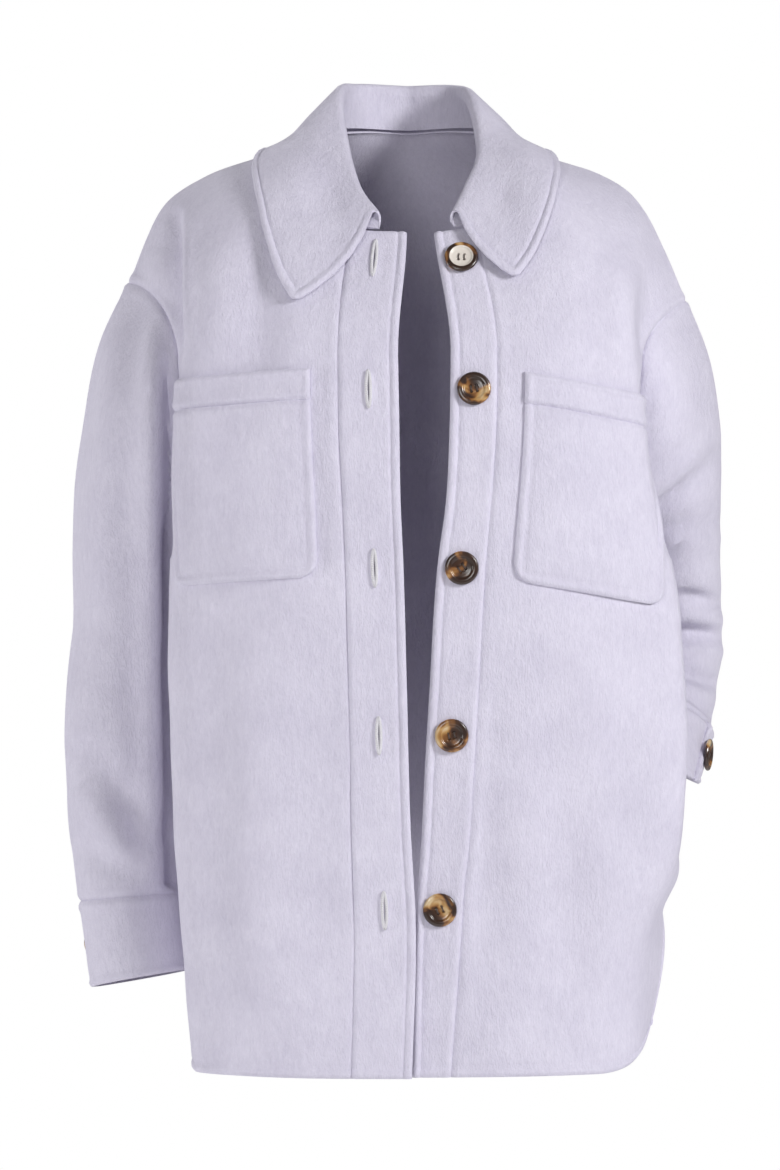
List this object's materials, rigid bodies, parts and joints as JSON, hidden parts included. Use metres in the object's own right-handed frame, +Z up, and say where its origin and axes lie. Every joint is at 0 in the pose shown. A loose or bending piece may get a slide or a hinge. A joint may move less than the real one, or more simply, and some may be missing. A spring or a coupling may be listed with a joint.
{
  "type": "shirt jacket",
  "caption": "Hip-length wool shirt jacket worn open, with a pointed collar, buttoned plackets, chest patch pockets, buttoned cuffs and a curved hem.",
  "frame": {"origin": "between the shoulders, level with the base of the neck, at the point where a neck or a hanger carries the garment", "axes": "+Z up, -Y the way the wearer faces, +X the wearer's left"},
  "size_m": [0.555, 0.3276, 0.8115],
  "materials": {
    "wool": "brushed lilac double-faced wool with a soft nap",
    "horn": "polished mottled brown horn"
  },
  "bodies": {
    "root": {"back": "wool", "front_right": "wool", "front_left": "wool", "placket_right": "wool", "placket_left": "wool", "sleeve_right": "wool", "sleeve_left": "wool", "cuff_right": "wool", "cuff_left": "wool", "pocket_right": "wool", "pocket_left": "wool", "pocket_band_right": "wool", "pocket_band_left": "wool", "collar": "wool", "collar_stand": "wool", "button_1": "horn", "button_2": "horn", "button_3": "horn", "button_4": "horn", "button_5": "horn", "button_cuff_right": "horn", "button_cuff_left": "horn"}
  },
  "joints": []
}
